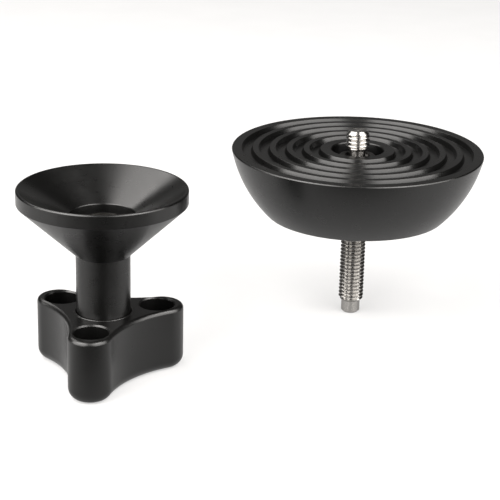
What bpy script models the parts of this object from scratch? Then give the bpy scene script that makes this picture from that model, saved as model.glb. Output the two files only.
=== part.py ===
"""Half ball adapter for a 100 mm bowl, with its tie-down taken off and standing beside it.

Units are metres and +Z is up. Everything stands on Z = 0, and the origin is at the middle of
the space that the two halves take up together. The half ball stands on the tip of its stud.
"""

from math import acos, asin, atan2, cos, pi, radians, sin, sqrt

import bmesh
import bpy
from mathutils import Matrix, Vector

MM = 0.001

# Clearance between pieces that touch or run on each other
GAP = 0.3 * MM

# Half ball
BALL_RADIUS = 50 * MM
BALL_CENTRE_ABOVE_TOP = 10 * MM
BALL_DEPTH = 25.55 * MM
BALL_EDGE_CHAMFER = 0.4 * MM
GROOVE_COUNT = 5
GROOVE_WIDTH = 4.25 * MM
GROOVE_FLOOR_WIDTH = 2.85 * MM
GROOVE_DEPTH = 1.9 * MM
GROOVE_PITCH = 6.58 * MM
FIRST_GROOVE_RADIUS = 16.55 * MM
RECESS_RADIUS = 10.1 * MM
RECESS_CHAMFER = 0.35 * MM

# Bush with the tapped hole for the stud
BUSH_FLANGE_RADIUS = 7.05 * MM
BUSH_FLANGE_HEIGHT = 4.7 * MM
BUSH_BELOW_TOP = 2.35 * MM
BUSH_SHANK_RADIUS = 6 * MM
BUSH_SHANK_LENGTH = 7.2 * MM
BUSH_CHAMFER = 0.3 * MM

# Stud: 3/8 inch-16 above its neck, M10 x 1.5 below its collar
CAMERA_PITCH = 1.5875 * MM
CAMERA_MAJOR_RADIUS = 4.65 * MM
CAMERA_MINOR_RADIUS = 3.8 * MM
CAMERA_TOP_ABOVE_BALL = 7.6 * MM
CAMERA_THREAD_LENGTH = 7.85 * MM
CAMERA_LEAD_IN = 0.6 * MM
NECK_RADIUS = 3.15 * MM
COLLAR_RADIUS = 6.7 * MM
COLLAR_HEIGHT = 3 * MM
COLLAR_CHAMFER = 0.3 * MM
STUD_PITCH = 1.5 * MM
STUD_MAJOR_RADIUS = 4.9 * MM
STUD_MINOR_RADIUS = 4.05 * MM
STUD_BELOW_BALL = 42 * MM
STUD_RELIEF_LENGTH = 1.2 * MM
DOG_RADIUS = 3.7 * MM
DOG_LENGTH = 5 * MM
DOG_CHAMFER = 0.8 * MM
STUD_SOCKET_ACROSS_FLATS = 4 * MM
STUD_SOCKET_DEPTH = 3.5 * MM
STUD_WASHER_THICKNESS = 1.2 * MM
STUD_WASHER_HOLE_RADIUS = 5.1 * MM

# Clamp cup, its rim this high above the knob's foot
CUP_HEIGHT = 70.2 * MM
CUP_RADIUS = 30.35 * MM
CUP_EDGE_CHAMFER = 0.4 * MM
CUP_LIP_WIDTH = 1 * MM
CUP_BAND_HEIGHT = 5 * MM
CUP_CONE_HEIGHT = 19.45 * MM
CUP_DISH_DEPTH = 9.6 * MM
STEM_RADIUS = 9.75 * MM
STEM_IN_KNOB = 2.5 * MM
STEM_CHAMFER = 0.3 * MM
POCKET_RADIUS = 11.9 * MM
POCKET_CHAMFER = 0.3 * MM

# Spindle that the cup turns on, and the thread insert in it
SPINDLE_RADIUS = 7.5 * MM
SPINDLE_TOP_BELOW_RIM = 11.4 * MM
SPINDLE_COLLAR_RADIUS = 9.4 * MM
SPINDLE_COLLAR_HEIGHT = 2 * MM
SPINDLE_CHAMFER = 0.4 * MM
SPINDLE_BORE_RADIUS = 5.4 * MM
SPINDLE_BORE_DEPTH = 33 * MM
INSERT_RADIUS = 5.8 * MM
INSERT_LENGTH = 15 * MM
INSERT_BELOW_SPINDLE = 0.4 * MM
INSERT_MAJOR_RADIUS = 5.05 * MM
INSERT_MINOR_RADIUS = 4.2 * MM
INSERT_LEAD_IN = 0.4 * MM

# Retaining ring and thrust washers
CLIP_THICKNESS = 1 * MM
CLIP_WIDTH = 2 * MM
CLIP_GROOVE_DEPTH = 0.6 * MM
CLIP_SHOULDER = 0.8 * MM
CLIP_LUG_RADIUS = 1.6 * MM
CLIP_LUG_CENTRE_RADIUS = 9.2 * MM
CLIP_LUG_HOLE_RADIUS = 0.7 * MM
CLIP_LUG_ANGLE = radians(9)
CLIP_HALF_OPENING = radians(12)
CLIP_DIRECTION = radians(-90)
UPPER_WASHER_THICKNESS = 1.2 * MM
UPPER_WASHER_RADIUS = 10.9 * MM
LOWER_WASHER_THICKNESS = 1.2 * MM
LOWER_WASHER_RADIUS = 9.4 * MM

# Knob
KNOB_HEIGHT = 23.95 * MM
LOBE_COUNT = 3
LOBE_CENTRE_RADIUS = 22.2 * MM
LOBE_END_RADIUS = 7.9 * MM
WAIST_RADIUS = 15 * MM
KNOB_TOP_FILLET = 1.7 * MM
KNOB_FOOT_FILLET = 4.2 * MM
FRONT_LOBE = radians(-97)
HOLE_CIRCLE_RADIUS = 20.3 * MM
HOLE_RADIUS = 6.3 * MM
HOLE_DEPTH = 13 * MM
HOLE_CHAMFER = 0.5 * MM
SEAT_CHAMFER = 0.35 * MM
FOOT_POCKET_RADIUS = 9.8 * MM
FOOT_POCKET_DEPTH = 7.8 * MM

# Fasteners in the knob
BASE_WASHER_RADIUS = 9.3 * MM
BASE_WASHER_THICKNESS = 1.5 * MM
BASE_SCREW_RADIUS = 3 * MM
BASE_SCREW_LENGTH = 10 * MM
BASE_SCREW_HEAD_RADIUS = 5 * MM
BASE_SCREW_HEAD_HEIGHT = 4 * MM
BASE_SCREW_ACROSS_FLATS = 4 * MM
BASE_SCREW_SOCKET_DEPTH = 2.3 * MM
BASE_SCREW_CHAMFER = 0.4 * MM
TAPPED_HOLE_DEPTH = 9 * MM
GRUB_HEIGHT = 12.4 * MM
GRUB_RADIUS = 2 * MM
GRUB_LENGTH = 5 * MM
GRUB_ACROSS_FLATS = 2 * MM
GRUB_SOCKET_DEPTH = 2 * MM
GRUB_CHAMFER = 0.3 * MM

# Where the two halves stand
BALL_RIGHT_OF_TIE_DOWN = 93 * MM
BALL_BEHIND_TIE_DOWN = 65.3 * MM

# Mesh resolution
BALL_STEPS = 40
CUP_STEPS = 40
PIN_STEPS = 24
THREAD_SIDES = 18
LOBE_STEPS = 12
FLANK_STEPS = 6
FILLET_SEGMENTS = 4

# One turn of a thread: how far along the pitch, and how far from root to crest
THREAD_CORNERS = ((0.125, 0), (0.5625, 1), (0.6875, 1))

# How far cutters reach past the surfaces they cut
OVERSHOOT = 1 * MM

# Heights on the half ball
BALL_TOP = STUD_BELOW_BALL + BALL_DEPTH
BUSH_TOP = BALL_TOP - BUSH_BELOW_TOP
FLANGE_FOOT = BUSH_TOP - BUSH_FLANGE_HEIGHT
RECESS_FLOOR = FLANGE_FOOT - GAP
BUSH_FOOT = FLANGE_FOOT - BUSH_SHANK_LENGTH
STUD_WASHER_TOP = BUSH_FOOT - GAP
STUD_WASHER_FOOT = STUD_WASHER_TOP - STUD_WASHER_THICKNESS
COLLAR_TOP = STUD_WASHER_FOOT - GAP
COLLAR_FOOT = COLLAR_TOP - COLLAR_HEIGHT
STUD_THREAD_TOP = COLLAR_FOOT - STUD_RELIEF_LENGTH
CAMERA_TOP = BALL_TOP + CAMERA_TOP_ABOVE_BALL
CAMERA_THREAD_FOOT = CAMERA_TOP - CAMERA_THREAD_LENGTH

# Heights on the tie-down
STEM_FOOT = KNOB_HEIGHT - STEM_IN_KNOB
LOWER_WASHER_TOP = STEM_FOOT - GAP
LOWER_WASHER_FOOT = LOWER_WASHER_TOP - LOWER_WASHER_THICKNESS
SPINDLE_COLLAR_TOP = LOWER_WASHER_FOOT - GAP
SPINDLE_COLLAR_FOOT = SPINDLE_COLLAR_TOP - SPINDLE_COLLAR_HEIGHT
SEAT_FLOOR = SPINDLE_COLLAR_FOOT - GAP
SPINDLE_TOP = CUP_HEIGHT - SPINDLE_TOP_BELOW_RIM
SPINDLE_FOOT = FOOT_POCKET_DEPTH + GAP
SPINDLE_BORE_FLOOR = SPINDLE_TOP - SPINDLE_BORE_DEPTH
INSERT_TOP = SPINDLE_TOP - INSERT_BELOW_SPINDLE
INSERT_FOOT = INSERT_TOP - INSERT_LENGTH
CLIP_GROOVE_TOP = SPINDLE_TOP - CLIP_SHOULDER
CLIP_TOP = CLIP_GROOVE_TOP - GAP
CLIP_FOOT = CLIP_TOP - CLIP_THICKNESS
UPPER_WASHER_TOP = CLIP_FOOT - GAP
UPPER_WASHER_FOOT = UPPER_WASHER_TOP - UPPER_WASHER_THICKNESS
POCKET_FLOOR = UPPER_WASHER_FOOT - GAP
BASE_WASHER_TOP = FOOT_POCKET_DEPTH - GAP
BASE_WASHER_FOOT = BASE_WASHER_TOP - BASE_WASHER_THICKNESS
BASE_SCREW_HEAD_TOP = BASE_WASHER_FOOT - GAP
BASE_SCREW_TOP = BASE_SCREW_HEAD_TOP + BASE_SCREW_LENGTH

# Radii that follow
RIM_RADIUS = sqrt(BALL_RADIUS**2 - BALL_CENTRE_ABOVE_TOP**2)
STEM_BORE_RADIUS = SPINDLE_RADIUS + GAP
CLIP_GROOVE_RADIUS = SPINDLE_RADIUS - CLIP_GROOVE_DEPTH
CLIP_INNER_RADIUS = CLIP_GROOVE_RADIUS + GAP
CLIP_OUTER_RADIUS = CLIP_INNER_RADIUS + CLIP_WIDTH

# The two axes, with the origin at the middle of the whole
BALL_X = (BALL_RIGHT_OF_TIE_DOWN - RIM_RADIUS + CUP_RADIUS) / 2
BALL_Y = (BALL_BEHIND_TIE_DOWN - RIM_RADIUS + CUP_RADIUS) / 2
BALL_AXIS = (BALL_X, BALL_Y, 0)
TIE_DOWN_AXIS = (BALL_X - BALL_RIGHT_OF_TIE_DOWN, BALL_Y - BALL_BEHIND_TIE_DOWN, 0)

# Direction of the flank that has the grub screw, at the back
GRUB_DIRECTION = FRONT_LOBE - pi / LOBE_COUNT + pi


def clear_scene():
    for obj in list(bpy.data.objects):
        bpy.data.objects.remove(obj)


def new_collection(name):
    collection = bpy.data.collections.new(name)
    bpy.context.scene.collection.children.link(collection)
    return collection


def material(name, colour, roughness, metallic):
    made = bpy.data.materials.new(name)
    made.use_nodes = True
    shader = made.node_tree.nodes["Principled BSDF"]
    shader.inputs["Base Color"].default_value = (*colour, 1)
    shader.inputs["Roughness"].default_value = roughness
    shader.inputs["Metallic"].default_value = metallic
    made.diffuse_color = (*colour, 1)
    return made


def black_anodised():
    return material("black_anodised", (0.022, 0.021, 0.02), 0.42, 0.6)


def black_steel():
    return material("black_steel", (0.03, 0.029, 0.027), 0.38, 0.8)


def stainless():
    return material("stainless", (0.62, 0.6, 0.57), 0.22, 1)


def black_acetal():
    return material("black_acetal", (0.03, 0.03, 0.03), 0.5, 0)


def place(mesh, name, collection, surface, where):
    """A named object in the scene, shaded smooth except at its real edges."""
    mesh.shade_smooth()
    mesh.set_sharp_from_angle(angle=radians(32))
    mesh.materials.append(surface)
    obj = bpy.data.objects.new(name, mesh)
    obj.location = where
    collection.objects.link(obj)
    return obj


def place_cutter(mesh, name, collection, where):
    obj = bpy.data.objects.new(name, mesh)
    obj.location = where
    obj.hide_render = True
    obj.display_type = "WIRE"
    collection.objects.link(obj)
    return obj


def cut(obj, cutter):
    hollow = obj.modifiers.new(cutter.name, "BOOLEAN")
    hollow.operation = "DIFFERENCE"
    hollow.solver = "EXACT"
    hollow.object = cutter


def finished_mesh(name, data, set_up):
    """The mesh that an object with this data and these modifiers makes."""
    obj = bpy.data.objects.new(name, data)
    bpy.context.scene.collection.objects.link(obj)
    set_up(obj)
    bpy.context.view_layer.update()
    graph = bpy.context.evaluated_depsgraph_get()
    mesh = bpy.data.meshes.new_from_object(obj.evaluated_get(graph))
    mesh.name = name
    bpy.data.objects.remove(obj)
    return mesh


def welded(mesh):
    shape = bmesh.new()
    shape.from_mesh(mesh)
    bmesh.ops.remove_doubles(shape, verts=shape.verts, dist=0.000001)
    shape.to_mesh(mesh)
    shape.free()
    return mesh


def turned(name, profile, steps, closed=False):
    """A profile of (radius, height), running down its outer side, turned about Z."""
    outline = bpy.data.meshes.new(name)
    edges = [(i, i + 1) for i in range(len(profile) - 1)]
    if closed:
        edges.append((len(profile) - 1, 0))
    outline.from_pydata([(radius, 0, height) for radius, height in profile], edges, [])

    def turn(obj):
        screw = obj.modifiers.new("Turn", "SCREW")
        screw.steps = steps
        screw.render_steps = steps
        screw.use_merge_vertices = True
        screw.merge_threshold = 0.00001

    return finished_mesh(name, outline, turn)


def drawn_up(name, outlines, foot, top):
    """Flat closed outlines, filled and drawn up from one height to another."""
    curve = bpy.data.curves.new(name, "CURVE")
    curve.dimensions = "2D"
    curve.fill_mode = "BOTH"
    curve.extrude = (top - foot) / 2
    for outline in outlines:
        spline = curve.splines.new("POLY")
        spline.points.add(len(outline) - 1)
        spline.use_cyclic_u = True
        for point, (x, y) in zip(spline.points, outline):
            point.co = (x, y, 0, 1)
    mesh = finished_mesh(name, curve, lambda obj: None)
    mesh.transform(Matrix.Translation((0, 0, (foot + top) / 2)))
    return welded(mesh)


def spun(name, profile_at, closed=False):
    """A turned piece whose profile changes with the angle, as a thread's or a hexagon's does."""
    shape = bmesh.new()
    columns = []
    for side in range(THREAD_SIDES + 1):
        angle = 2 * pi * side / THREAD_SIDES
        column = [
            shape.verts.new((radius * cos(angle), radius * sin(angle), height))
            for radius, height in profile_at(angle)
        ]
        columns.append(column + column[:1] if closed else column)
    for left, right in zip(columns, columns[1:]):
        for i in range(len(left) - 1):
            shape.faces.new((left[i], left[i + 1], right[i + 1], right[i]))
    bmesh.ops.remove_doubles(shape, verts=shape.verts, dist=0.00002)
    mesh = bpy.data.meshes.new(name)
    shape.to_mesh(mesh)
    shape.free()
    return mesh


def thread(angle, top, foot, pitch, crest, root, top_lead_in, foot_lead_in):
    """One angle's points of a right-hand thread, from top to foot.

    Each end has a 45 degree chamfer that reaches past the root by its lead-in.
    An inside thread has its root further out than its crest.
    """
    outwards = 1 if root > crest else -1
    points = []
    for turn in range(int((top - foot) / pitch) + 1, -3, -1):
        for share, rise in reversed(THREAD_CORNERS):
            height = foot + (turn + share + angle / (2 * pi)) * pitch
            height = min(max(height, foot), top)
            depths = (
                outwards * (root + rise * (crest - root)),
                outwards * root + top_lead_in - (top - height),
                outwards * root + foot_lead_in - (height - foot),
            )
            points.append((outwards * max(depths), height))
    return points


def hexagon(angle, across_flats):
    """Distance from the middle of a hexagon to its side, at an angle."""
    return across_flats / 2 / cos(angle % (pi / 3) - pi / 6)


def arc(centre_radius, centre_height, radius, start, end, steps):
    """Points of an arc in a profile, both ends included."""
    angles = [start + (end - start) * i / steps for i in range(steps + 1)]
    return [(centre_radius + radius * cos(a), centre_height + radius * sin(a)) for a in angles]


def ring(inner, outer, foot, top):
    """A washer's profile."""
    return [(inner, top), (outer, top), (outer, foot), (inner, foot)]


def grooves():
    """The platform's flat-bottomed grooves, from the middle outwards."""
    floor = BALL_TOP - GROOVE_DEPTH
    points = []
    for i in range(GROOVE_COUNT):
        middle = FIRST_GROOVE_RADIUS + i * GROOVE_PITCH
        points += [
            (middle - GROOVE_WIDTH / 2, BALL_TOP),
            (middle - GROOVE_FLOOR_WIDTH / 2, floor),
            (middle + GROOVE_FLOOR_WIDTH / 2, floor),
            (middle + GROOVE_WIDTH / 2, BALL_TOP),
        ]
    return points


def half_ball(collection, surface):
    """Grooved platform, recess, spherical wall, flat underside and stepped bore."""
    centre = BALL_TOP + BALL_CENTRE_ABOVE_TOP
    wall_start = -asin((BALL_CENTRE_ABOVE_TOP + BALL_EDGE_CHAMFER) / BALL_RADIUS)
    wall_end = -asin((BALL_CENTRE_ABOVE_TOP + BALL_DEPTH) / BALL_RADIUS)
    bore = COLLAR_RADIUS + GAP
    profile = [(RECESS_RADIUS, BALL_TOP - RECESS_CHAMFER)]
    profile.append((RECESS_RADIUS + RECESS_CHAMFER, BALL_TOP))
    profile += grooves()
    profile.append((RIM_RADIUS - BALL_EDGE_CHAMFER, BALL_TOP))
    profile += arc(0, centre, BALL_RADIUS, wall_start, wall_end, 9)
    profile += [
        (bore + BALL_EDGE_CHAMFER, STUD_BELOW_BALL),
        (bore, STUD_BELOW_BALL + BALL_EDGE_CHAMFER),
        (bore, BUSH_FOOT),
        (BUSH_SHANK_RADIUS + GAP, BUSH_FOOT),
        (BUSH_SHANK_RADIUS + GAP, RECESS_FLOOR),
        (RECESS_RADIUS, RECESS_FLOOR),
    ]
    mesh = turned("half_ball", profile, BALL_STEPS, closed=True)
    place(mesh, "half_ball", collection, surface, BALL_AXIS)


def stud_bush(collection, surface):
    """Flanged bush, tapped right through so that the stud's short thread can be screwed past."""

    def profile(angle):
        outside = [
            (BUSH_FLANGE_RADIUS - BUSH_CHAMFER, BUSH_TOP),
            (BUSH_FLANGE_RADIUS, BUSH_TOP - BUSH_CHAMFER),
            (BUSH_FLANGE_RADIUS, FLANGE_FOOT),
            (BUSH_SHANK_RADIUS, FLANGE_FOOT),
            (BUSH_SHANK_RADIUS, BUSH_FOOT),
        ]
        crest = CAMERA_MINOR_RADIUS + GAP
        root = CAMERA_MAJOR_RADIUS + GAP
        inside = thread(angle, BUSH_TOP, BUSH_FOOT, CAMERA_PITCH, crest, root, 0, 0)
        return outside + inside[::-1]

    mesh = spun("stud_bush", profile, closed=True)
    place(mesh, "stud_bush", collection, surface, BALL_AXIS)


def stud_washer(collection, surface):
    profile = ring(STUD_WASHER_HOLE_RADIUS, COLLAR_RADIUS, STUD_WASHER_FOOT, STUD_WASHER_TOP)
    mesh = turned("stud_washer", profile, PIN_STEPS, closed=True)
    place(mesh, "stud_washer", collection, surface, BALL_AXIS)


def tripod_stud(collection, surface):
    """Camera thread, neck, collar, long thread and dog point with a hexagon socket."""

    def profile(angle):
        camera = thread(
            angle,
            CAMERA_TOP,
            CAMERA_THREAD_FOOT,
            CAMERA_PITCH,
            CAMERA_MAJOR_RADIUS,
            CAMERA_MINOR_RADIUS,
            CAMERA_LEAD_IN,
            CAMERA_MINOR_RADIUS - NECK_RADIUS,
        )
        collar = [
            (NECK_RADIUS, COLLAR_TOP),
            (COLLAR_RADIUS - COLLAR_CHAMFER, COLLAR_TOP),
            (COLLAR_RADIUS, COLLAR_TOP - COLLAR_CHAMFER),
            (COLLAR_RADIUS, COLLAR_FOOT + COLLAR_CHAMFER),
            (COLLAR_RADIUS - COLLAR_CHAMFER, COLLAR_FOOT),
            (STUD_MINOR_RADIUS, COLLAR_FOOT),
        ]
        long_thread = thread(
            angle,
            STUD_THREAD_TOP,
            DOG_LENGTH,
            STUD_PITCH,
            STUD_MAJOR_RADIUS,
            STUD_MINOR_RADIUS,
            0,
            STUD_MINOR_RADIUS - DOG_RADIUS,
        )
        side = hexagon(angle, STUD_SOCKET_ACROSS_FLATS)
        tip = [
            (DOG_RADIUS, DOG_CHAMFER),
            (DOG_RADIUS - DOG_CHAMFER, 0),
            (side, 0),
            (side, STUD_SOCKET_DEPTH),
            (0, STUD_SOCKET_DEPTH),
        ]
        return [(0, CAMERA_TOP)] + camera + collar + long_thread + tip

    mesh = spun("tripod_stud", profile)
    place(mesh, "tripod_stud", collection, surface, BALL_AXIS)


def clamp_cup(collection, surface):
    """Rim band, cone and hollow stem, with a dish and a pocket for the retaining ring."""
    dish_foot = CUP_HEIGHT - CUP_DISH_DEPTH
    band_foot = CUP_HEIGHT - CUP_BAND_HEIGHT
    profile = [
        (CUP_RADIUS - CUP_LIP_WIDTH, CUP_HEIGHT),
        (CUP_RADIUS - CUP_EDGE_CHAMFER, CUP_HEIGHT),
        (CUP_RADIUS, CUP_HEIGHT - CUP_EDGE_CHAMFER),
        (CUP_RADIUS, band_foot),
        (STEM_RADIUS, band_foot - CUP_CONE_HEIGHT),
        (STEM_RADIUS, STEM_FOOT + STEM_CHAMFER),
        (STEM_RADIUS - STEM_CHAMFER, STEM_FOOT),
        (STEM_BORE_RADIUS, STEM_FOOT),
        (STEM_BORE_RADIUS, POCKET_FLOOR),
        (POCKET_RADIUS, POCKET_FLOOR),
        (POCKET_RADIUS, dish_foot - POCKET_CHAMFER),
        (POCKET_RADIUS + POCKET_CHAMFER, dish_foot),
    ]
    mesh = turned("clamp_cup", profile, CUP_STEPS, closed=True)
    place(mesh, "clamp_cup", collection, surface, TIE_DOWN_AXIS)


def spindle(collection, surface):
    """Bored for the insert and the stud's free end, tapped below for the base screw."""
    seat = INSERT_FOOT - GAP
    seat_radius = INSERT_RADIUS + GAP
    tapped = BASE_SCREW_RADIUS + GAP
    tapped_top = SPINDLE_FOOT + TAPPED_HOLE_DEPTH
    profile = [
        (0, SPINDLE_BORE_FLOOR),
        (SPINDLE_BORE_RADIUS, SPINDLE_BORE_FLOOR),
        (SPINDLE_BORE_RADIUS, seat),
        (seat_radius, seat),
        (seat_radius, SPINDLE_TOP),
        (SPINDLE_RADIUS - SPINDLE_CHAMFER, SPINDLE_TOP),
        (SPINDLE_RADIUS, SPINDLE_TOP - SPINDLE_CHAMFER),
        (SPINDLE_RADIUS, CLIP_GROOVE_TOP),
        (CLIP_GROOVE_RADIUS, CLIP_GROOVE_TOP),
        (CLIP_GROOVE_RADIUS, CLIP_FOOT - GAP),
        (SPINDLE_RADIUS, CLIP_FOOT - GAP),
        (SPINDLE_RADIUS, SPINDLE_COLLAR_TOP),
        (SPINDLE_COLLAR_RADIUS, SPINDLE_COLLAR_TOP),
        (SPINDLE_COLLAR_RADIUS, SPINDLE_COLLAR_FOOT),
        (SPINDLE_RADIUS, SPINDLE_COLLAR_FOOT),
        (SPINDLE_RADIUS, SPINDLE_FOOT + SPINDLE_CHAMFER),
        (SPINDLE_RADIUS - SPINDLE_CHAMFER, SPINDLE_FOOT),
        (tapped, SPINDLE_FOOT),
        (tapped, tapped_top),
        (0, tapped_top),
    ]
    mesh = turned("spindle", profile, PIN_STEPS)
    place(mesh, "spindle", collection, surface, TIE_DOWN_AXIS)


def thread_insert(collection, surface):
    """Stainless nut for the stud's long thread, let into the top of the spindle."""

    def profile(angle):
        inside = thread(
            angle,
            INSERT_TOP,
            INSERT_FOOT,
            STUD_PITCH,
            INSERT_MINOR_RADIUS,
            INSERT_MAJOR_RADIUS,
            INSERT_LEAD_IN,
            0,
        )
        return [(INSERT_RADIUS, INSERT_TOP), (INSERT_RADIUS, INSERT_FOOT)] + inside[::-1]

    mesh = spun("thread_insert", profile, closed=True)
    place(mesh, "thread_insert", collection, surface, TIE_DOWN_AXIS)


def upper_thrust_washer(collection, surface):
    profile = ring(STEM_BORE_RADIUS, UPPER_WASHER_RADIUS, UPPER_WASHER_FOOT, UPPER_WASHER_TOP)
    mesh = turned("upper_thrust_washer", profile, PIN_STEPS, closed=True)
    place(mesh, "upper_thrust_washer", collection, surface, TIE_DOWN_AXIS)


def lower_thrust_washer(collection, surface):
    profile = ring(STEM_BORE_RADIUS, LOWER_WASHER_RADIUS, LOWER_WASHER_FOOT, LOWER_WASHER_TOP)
    mesh = turned("lower_thrust_washer", profile, PIN_STEPS, closed=True)
    place(mesh, "lower_thrust_washer", collection, surface, TIE_DOWN_AXIS)


def clip_outer_radius(from_end):
    """Outer radius of the retaining ring at an angle from its nearer end, lugs included."""
    from_lug = from_end - CLIP_LUG_ANGLE
    aside = CLIP_LUG_CENTRE_RADIUS * sin(from_lug)
    if abs(from_lug) > pi / 2 or abs(aside) > CLIP_LUG_RADIUS:
        return CLIP_OUTER_RADIUS
    bulge = CLIP_LUG_CENTRE_RADIUS * cos(from_lug) + sqrt(CLIP_LUG_RADIUS**2 - aside**2)
    return max(CLIP_OUTER_RADIUS, bulge)


def circlip(collection, surface):
    """Open retaining ring with a drilled lug at each end."""
    span = 2 * pi - 2 * CLIP_HALF_OPENING
    lug = asin(CLIP_LUG_RADIUS / CLIP_LUG_CENTRE_RADIUS) + CLIP_LUG_ANGLE
    near = [lug * i / 5 for i in range(6)]
    along = near + [lug + (span - 2 * lug) * i / 20 for i in range(1, 20)]
    along += [span - angle for angle in reversed(near)]
    start = CLIP_DIRECTION + CLIP_HALF_OPENING
    outer = []
    inner = []
    for angle in along:
        radius = clip_outer_radius(min(angle, span - angle))
        direction = Vector((cos(start + angle), sin(start + angle)))
        outer.append(direction * radius)
        inner.append(direction * CLIP_INNER_RADIUS)
    outlines = [outer + inner[::-1]]
    for angle in (start + CLIP_LUG_ANGLE, start + span - CLIP_LUG_ANGLE):
        middle = Vector((cos(angle), sin(angle))) * CLIP_LUG_CENTRE_RADIUS
        turns = [2 * pi * i / 10 for i in range(10)]
        outlines.append([middle + Vector((cos(t), sin(t))) * CLIP_LUG_HOLE_RADIUS for t in turns])
    mesh = drawn_up("circlip", outlines, CLIP_FOOT, CLIP_TOP)
    place(mesh, "circlip", collection, surface, TIE_DOWN_AXIS)


def knob_outline():
    """Round lobe ends joined by hollow flanks that meet them without a corner."""
    half_step = pi / LOBE_COUNT
    along = LOBE_CENTRE_RADIUS * cos(half_step)
    apart_squared = WAIST_RADIUS**2 + LOBE_CENTRE_RADIUS**2 - 2 * WAIST_RADIUS * along
    flank = (apart_squared - LOBE_END_RADIUS**2) / (2 * (LOBE_END_RADIUS + along - WAIST_RADIUS))
    lobe = Vector((LOBE_CENTRE_RADIUS, 0))
    hollow = Vector((cos(half_step), sin(half_step))) * (WAIST_RADIUS + flank)
    apart = hollow - lobe
    lobe_spread = atan2(apart.y, apart.x)
    flank_spread = acos(hollow.dot(apart) / hollow.length / apart.length)
    inwards = half_step + pi
    start = inwards + flank_spread
    end = inwards - flank_spread
    points = arc(lobe.x, lobe.y, LOBE_END_RADIUS, -lobe_spread, lobe_spread, LOBE_STEPS)
    points += arc(hollow.x, hollow.y, flank, start, end, FLANK_STEPS)[1:-1]
    outline = []
    for i in range(LOBE_COUNT):
        turn = Matrix.Rotation(FRONT_LOBE + 2 * half_step * i, 2)
        outline += [turn @ Vector(point) for point in points]
    return outline


def knob_blank():
    """The knob before drilling, its rim edges marked for a small and a large fillet."""
    mesh = drawn_up("tie_down_knob", [knob_outline()], 0, KNOB_HEIGHT)
    shape = bmesh.new()
    shape.from_mesh(mesh)
    bmesh.ops.dissolve_limit(shape, angle_limit=radians(1), verts=shape.verts, edges=shape.edges)
    weights = shape.edges.layers.float.new("bevel_weight_edge")
    for edge in shape.edges:
        heights = [vert.co.z for vert in edge.verts]
        if min(heights) > KNOB_HEIGHT / 2:
            edge[weights] = KNOB_TOP_FILLET / KNOB_FOOT_FILLET
        elif max(heights) < KNOB_HEIGHT / 2:
            edge[weights] = 1
    shape.to_mesh(mesh)
    shape.free()
    return mesh


def tie_down_knob(collection, cutters, surface):
    """Lobed knob with a stepped bore, a blind hole in each lobe and a grub screw's hole."""
    knob = place(knob_blank(), "tie_down_knob", collection, surface, TIE_DOWN_AXIS)
    fillet = knob.modifiers.new("Fillets", "BEVEL")
    fillet.limit_method = "WEIGHT"
    fillet.width = KNOB_FOOT_FILLET
    fillet.segments = FILLET_SEGMENTS
    fillet.use_clamp_overlap = False

    seat = STEM_RADIUS + GAP
    above = KNOB_HEIGHT + OVERSHOOT
    bore_profile = [
        (0, above),
        (seat + OVERSHOOT + SEAT_CHAMFER, above),
        (seat, KNOB_HEIGHT - SEAT_CHAMFER),
        (seat, SEAT_FLOOR),
        (STEM_BORE_RADIUS, SEAT_FLOOR),
        (STEM_BORE_RADIUS, FOOT_POCKET_DEPTH),
        (FOOT_POCKET_RADIUS, FOOT_POCKET_DEPTH),
        (FOOT_POCKET_RADIUS, -OVERSHOOT),
        (0, -OVERSHOOT),
    ]
    bore = turned("knob_bore_cutter", bore_profile, PIN_STEPS)
    cut(knob, place_cutter(bore, "knob_bore_cutter", cutters, TIE_DOWN_AXIS))

    hole_profile = [
        (0, above),
        (HOLE_RADIUS + OVERSHOOT + HOLE_CHAMFER, above),
        (HOLE_RADIUS, KNOB_HEIGHT - HOLE_CHAMFER),
        (HOLE_RADIUS, KNOB_HEIGHT - HOLE_DEPTH),
        (0, KNOB_HEIGHT - HOLE_DEPTH),
    ]
    hole = turned("lobe_hole_cutter", hole_profile, PIN_STEPS)
    for i in range(LOBE_COUNT):
        direction = FRONT_LOBE + 2 * pi * i / LOBE_COUNT
        middle = Vector((cos(direction), sin(direction), 0)) * HOLE_CIRCLE_RADIUS
        where = Vector(TIE_DOWN_AXIS) + middle
        cut(knob, place_cutter(hole, "lobe_hole_cutter_" + str(i + 1), cutters, where))

    side = GRUB_RADIUS + GAP
    grub_profile = [
        (0, WAIST_RADIUS + OVERSHOOT),
        (side, WAIST_RADIUS + OVERSHOOT),
        (side, SPINDLE_RADIUS),
        (0, SPINDLE_RADIUS),
    ]
    grub = turned("grub_hole_cutter", grub_profile, PIN_STEPS)
    grub.transform(lying_in_flank())
    cut(knob, place_cutter(grub, "grub_hole_cutter", cutters, TIE_DOWN_AXIS))


def lying_in_flank():
    """Lays a piece that stands on the axis down, so that it points out of the back flank."""
    turn = Matrix.Rotation(GRUB_DIRECTION, 4, "Z") @ Matrix.Rotation(pi / 2, 4, "Y")
    return Matrix.Translation((0, 0, GRUB_HEIGHT)) @ turn


def knob_grub_screw(collection, surface):
    foot = SPINDLE_RADIUS + GAP
    top = foot + GRUB_LENGTH

    def profile(angle):
        side = hexagon(angle, GRUB_ACROSS_FLATS)
        return [
            (0, top - GRUB_SOCKET_DEPTH),
            (side, top - GRUB_SOCKET_DEPTH),
            (side, top),
            (GRUB_RADIUS - GRUB_CHAMFER, top),
            (GRUB_RADIUS, top - GRUB_CHAMFER),
            (GRUB_RADIUS, foot + GRUB_CHAMFER),
            (GRUB_RADIUS - GRUB_CHAMFER, foot),
            (0, foot),
        ]

    mesh = spun("knob_grub_screw", profile)
    mesh.transform(lying_in_flank())
    place(mesh, "knob_grub_screw", collection, surface, TIE_DOWN_AXIS)


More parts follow.
